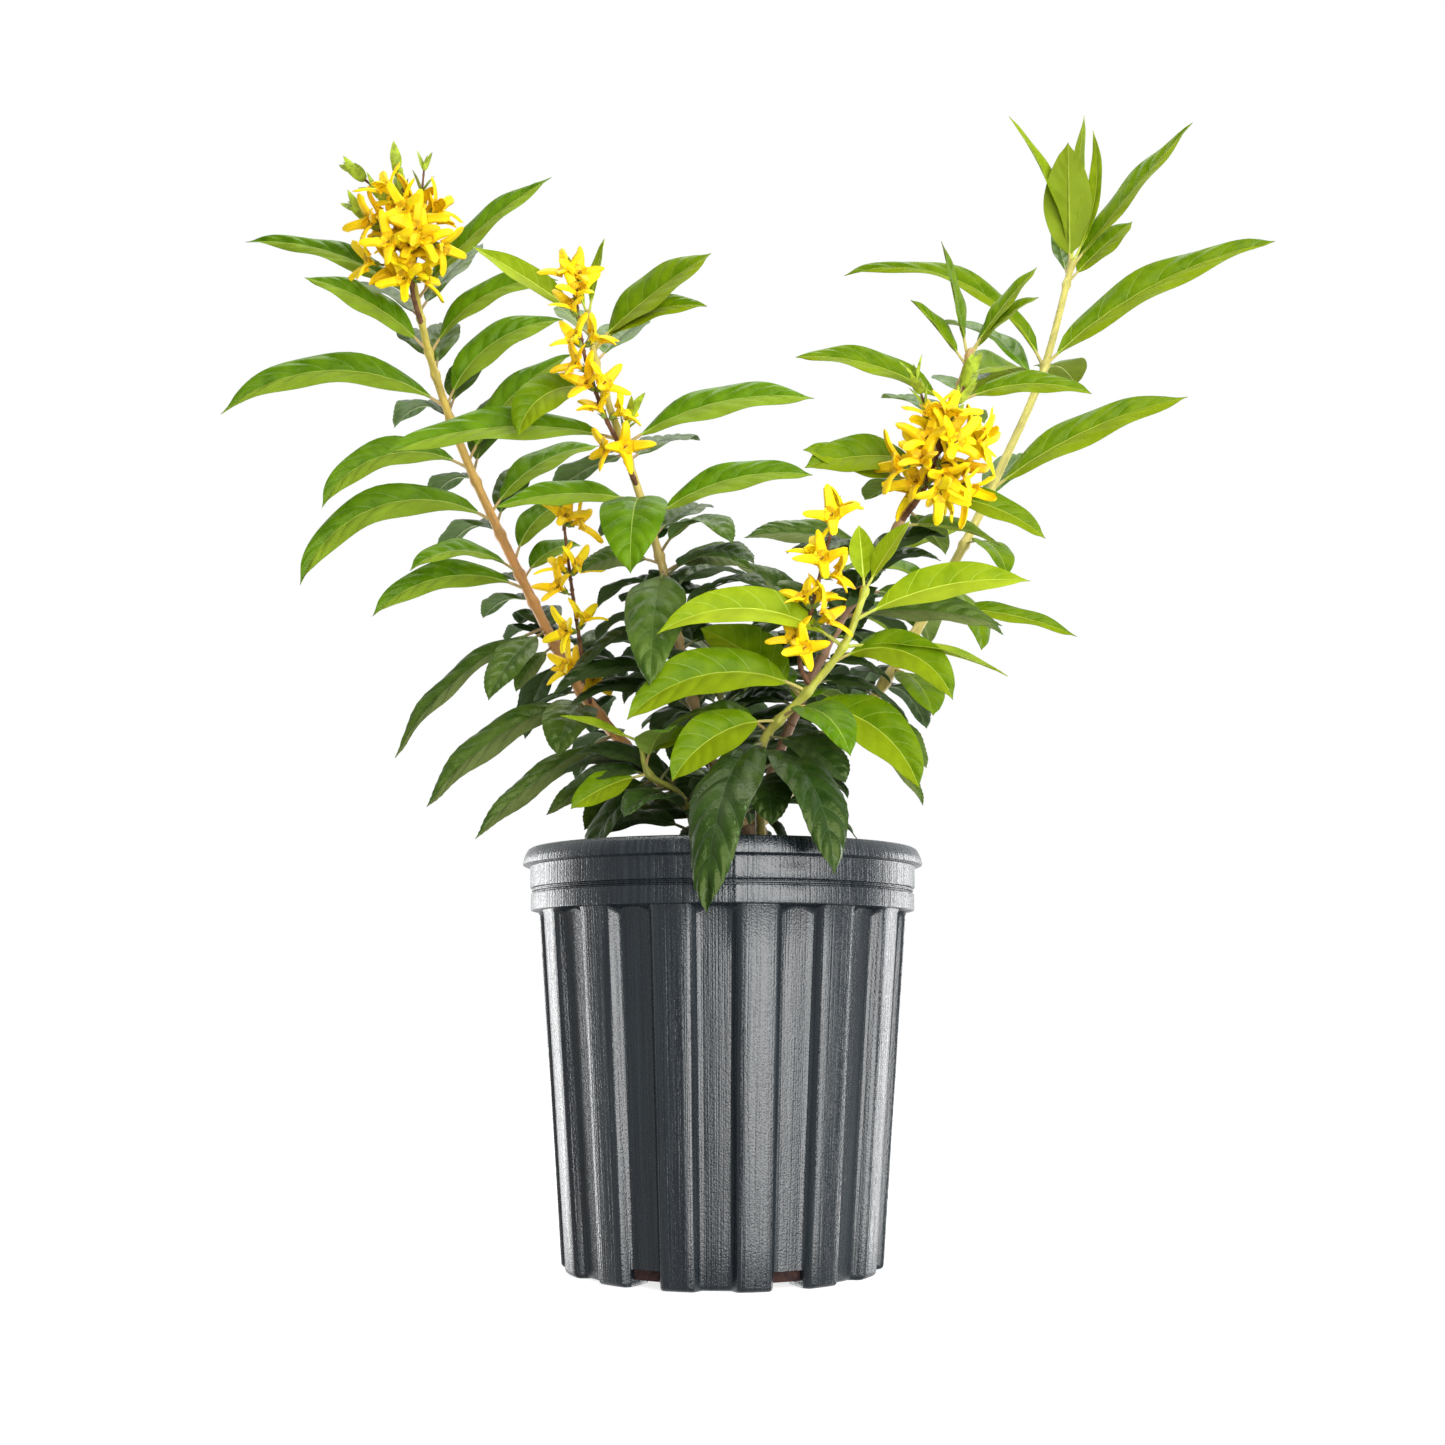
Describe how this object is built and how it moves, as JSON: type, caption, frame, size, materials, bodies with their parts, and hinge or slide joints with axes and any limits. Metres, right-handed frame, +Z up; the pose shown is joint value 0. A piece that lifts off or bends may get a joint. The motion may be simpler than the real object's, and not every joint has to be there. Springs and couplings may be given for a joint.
{
  "type": "potted flowering shrub",
  "caption": "Young forsythia in a round ribbed nursery pot: upright leafy canes with sprays of yellow four-petalled blossom.",
  "frame": {"origin": "centre of the pot's flat underside, on the surface it stands on", "axes": "+Z up along the pot's axis, +X to the right and -Y to the front as the picture shows it"},
  "size_m": [0.5944, 0.2791, 0.648],
  "materials": {
    "pot": "moulded, low gloss, fine vertical die lines",
    "potting_mix": "damp crumbled bark and peat with white grains",
    "bark": "rough brown bark",
    "cane": "smooth young orange-tan bark with pale pores",
    "left_foliage": "smooth leaf with a soft shine",
    "centre_foliage": "smooth leaf with a soft shine",
    "right_foliage": "smooth leaf with a soft shine",
    "far_foliage": "smooth leaf with a soft shine",
    "low_right_foliage": "smooth leaf with a soft shine",
    "low_left_foliage": "smooth leaf with a soft shine",
    "low_back_foliage": "smooth leaf with a soft shine"
  },
  "bodies": {
    "root": {"pot": "pot", "potting_mix": "potting_mix", "woody_foot": "bark", "left_bough": "cane", "centre_bough": "cane", "right_bough": "cane", "far_bough": "cane", "left_foliage": "left_foliage", "centre_foliage": "centre_foliage", "right_foliage": "right_foliage", "far_foliage": "far_foliage", "low_right_foliage": "low_right_foliage", "low_left_foliage": "low_left_foliage", "low_back_foliage": "low_back_foliage"}
  },
  "joints": []
}
